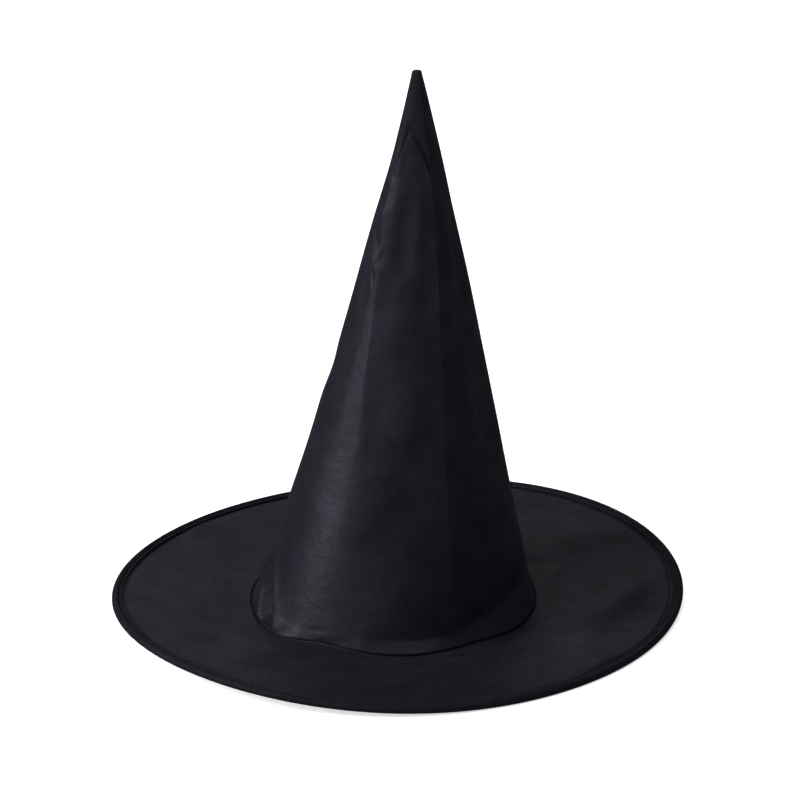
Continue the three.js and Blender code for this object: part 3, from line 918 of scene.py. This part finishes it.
band_angles, band_rise = np.meshgrid(once_round(240), np.linspace(0, 1, 14))
band_foot = seam_height(band_angles) - BAND_DROP
band_z = band_foot + (BAND_TOP - band_foot) * band_rise
band_points = crown_wall(band_angles, band_z, BAND_INSET + BAND_THICKNESS)
band_uv = np.stack([np.radians(band_angles) * BASE_RADIUS, band_z], -1)
head_band = sheet_mesh("head_band_sewn", band_points[:, :-1][:, ::-1], band_uv[:, ::-1])
finish_sheet(head_band, ribbon, BAND_THICKNESS)
fixed(head_band, "head_band")

band_stitch_angles = evenly_round(BASE_RADIUS - BAND_INSET, JOINT_STITCH)
band_path = crown_wall(band_stitch_angles, seam_height(band_stitch_angles) + BAND_STITCH_RISE,
                       BAND_INSET + BAND_THICKNESS)
half_way = (band_stitch_angles[1:] + band_stitch_angles[:-1]) / 2
band_out = -np.stack([*plan(half_way, 1.0), 0 * half_way], -1)
stitch_row("head_band_stitches", "head_band_thread", band_path, band_out, 0.12)

# ----------------------------------------------------------------------
# Hoop. Round spring-steel wire in the brim's edge, whose two ends meet at the back inside a short
# brass sleeve, crimped on to them in three places.
CASING = 2.3                           # radius of the round casing that the binding forms
CASING_R = RIM - CASING
WIRE_RADIUS = 0.8
WIRE_GAP = 0.6
SLEEVE_BORE, SLEEVE_WALL, SLEEVE_LENGTH = 1.1, 0.4, 14.0
CRIMPS, CRIMP_WIDTH, CRIMP_DEPTH = (-0.55, 0.0, 0.55), 0.07, 0.22   # along its half length


def drawn_metal(name, dark, light, roughness, grain):
    """Cold-drawn metal: the die leaves fine scratches along it, which stretch its highlights, and
    handling leaves duller patches."""
    material, tree = new_material(name)
    place = node(tree, "ShaderNodeUVMap", uv_map="cut")
    scratches = streaks(tree, place, 0.0001, 0.004)
    patches = node(tree, "ShaderNodeTexNoise", {"Vector": place, "Scale": grain})
    colour = node(tree, "ShaderNodeMix", {"Factor": patches, "A": linear(dark),
                                          "B": linear(light)}, data_type="RGBA")
    gloss = node(tree, "ShaderNodeMapRange", {"Value": scratches, "To Min": roughness - 0.1,
                                              "To Max": roughness + 0.12})
    lines = node(tree, "ShaderNodeBump", {"Height": scratches, "Distance": 0.00002})
    finish_with(tree, node(tree, "ShaderNodeBsdfPrincipled", {
        "Base Color": colour.outputs["Result"], "Metallic": 1.0, "Roughness": gloss,
        "Normal": lines}))
    return material


def round_the_edge(angle, radius_from_middle, turn):
    """Points about the casing's middle line: angle round the brim, and a distance and turn round
    the line itself, 0 facing outwards."""
    line = CASING_R - drawn_in(angle)
    z = CASING + radius_from_middle * np.sin(turn) + rim_lift(*plan(angle, line))
    return np.stack([*plan(angle, line + radius_from_middle * np.cos(turn)), z], -1)


def tube_mesh(name, stands_for, angles, wall, material):
    """A round tube through the edge: wall is its distance from the middle line at each angle,
    which closes it where that falls to nothing or comes back to where it began."""
    turn = np.linspace(0, 2 * np.pi, 17)
    grid_angle, grid_turn = np.meshgrid(angles, turn, indexing="ij")
    points = round_the_edge(grid_angle, wall, grid_turn)
    uv = np.stack([np.radians(grid_angle) * CASING_R, grid_turn * wall], -1)
    tube = sheet_mesh(name, points[:, :-1], uv)
    tube.data.materials.append(material)
    fixed(tube, stands_for)
    return tube


half_gap = np.degrees(WIRE_GAP / 2 / CASING_R)
wire_angles = np.linspace(BACK + half_gap, BACK + 360 - half_gap, 361)
wire_angles = np.concatenate([wire_angles[:1], wire_angles, wire_angles[-1:]])
wire_wall = np.full((len(wire_angles), 1), WIRE_RADIUS)
wire_wall[[0, -1]] = 0.0
hoop = tube_mesh("brim_hoop_wire", "brim_hoop", wire_angles, wire_wall,
                 drawn_metal("drawn_spring_steel", "#8b8d92", "#b4b6ba", 0.34, 300.0))

half_sleeve = np.degrees(SLEEVE_LENGTH / 2 / CASING_R)
sleeve_t = np.linspace(-1, 1, 41)
crimps = CRIMP_DEPTH * sum(bell(sleeve_t - middle, CRIMP_WIDTH) for middle in CRIMPS)
outer = SLEEVE_BORE + SLEEVE_WALL - crimps
inner = SLEEVE_BORE - crimps
sleeve_angles = BACK + half_sleeve * np.concatenate([sleeve_t, sleeve_t[::-1], sleeve_t[:1]])
sleeve_wall = np.concatenate([outer, inner[::-1], outer[:1]])[:, None]
tube_mesh("hoop_sleeve_crimped", "hoop_sleeve", sleeve_angles, sleeve_wall,
          drawn_metal("drawn_brass", "#9c7c3c", "#c7a25a", 0.36, 400.0))

# ----------------------------------------------------------------------
# Edge binding. Bias tape folded over the plies and round the hoop, with both edges turned under,
# and sewn through from lip to lip with one row of lockstitch just inside the casing.
BINDING_TAPE = 0.4
GATHERS, GATHER_RISE, GATHER_R, GATHER_WIDTH = 167, 0.07, 160.6, 1.4
EDGE_STITCH, STITCH_R, STITCH_Z = 3.0, 159.8, 3.78

bias_tape = woven_polyester("black_bias_tape", "#08070a", "#121118", 0.04,
                            pitch=0.0011, roughness=0.55, depth=0.00007, gloss_level=0.08)

# The tape's outer face as radius and height, from the under lip round the casing to the upper
# one: each lip ends in its turned-under edge, dips at the stitches and meets the casing in a
# groove. Between the two the tape is gathered in fine ripples.
casing_turn = np.radians(np.linspace(-132, 132, 23))
casing_arc = np.stack([CASING_R + CASING * np.cos(casing_turn),
                       CASING + CASING * np.sin(casing_turn)], -1)
upper_lip = np.array([(160.75, 3.62), (160.35, 3.66), (159.8, 3.76), (159.3, 3.93),
                      (159.0, 3.88), (158.9, 3.6), (159.1, 3.4)])
under_lip = upper_lip[::-1] * (1, -1) + (0, 2 * CASING)
profile = np.concatenate([under_lip, casing_arc, upper_lip])
edge_round = once_round(720)[None, :]
profile_r, profile_z = profile[:, :1], profile[:, 1:]
gather = GATHER_RISE * np.sin(np.radians(edge_round) * GATHERS) * np.sign(profile_z - CASING)
gather = gather * bell(profile_r - GATHER_R, GATHER_WIDTH)
edge_in = drawn_in(edge_round)
edge_x, edge_y = plan(edge_round, profile_r - edge_in)
lift = np.where(profile_r < CASING_R - CASING, rim_lift(edge_x, edge_y),
                rim_lift(*plan(edge_round, CASING_R - edge_in)))
tape_rows = np.stack([edge_x, edge_y, np.maximum(profile_z + gather + lift, 0)], -1)
across_tape = np.concatenate([[0], np.cumsum(np.hypot(*np.diff(profile, axis=0).T))])[:, None]
around_tape = np.radians(edge_round) * RIM
on_bias = np.stack([around_tape + across_tape, around_tape - across_tape], -1) / np.sqrt(2)
binding = sheet_mesh("edge_binding_folded", tape_rows[:, :-1], on_bias)
finish_sheet(binding, bias_tape, BINDING_TAPE)
fixed(binding, "edge_binding")

edge_stitch_angles = evenly_round(STITCH_R, EDGE_STITCH)
stitch_x, stitch_y = plan(edge_stitch_angles, STITCH_R - drawn_in(edge_stitch_angles))
for row_name, node_name, stitch_z, way in (
        ("edge_needle_stitches", "edge_needle_thread", STITCH_Z, 1.0),
        ("edge_bobbin_stitches", "edge_bobbin_thread", 2 * CASING - STITCH_Z, -1.0)):
    edge_path = np.stack([stitch_x, stitch_y, stitch_z + rim_lift(stitch_x, stitch_y)], -1)
    stitch_row(row_name, node_name, edge_path, (0.0, 0.0, way), 0.1)
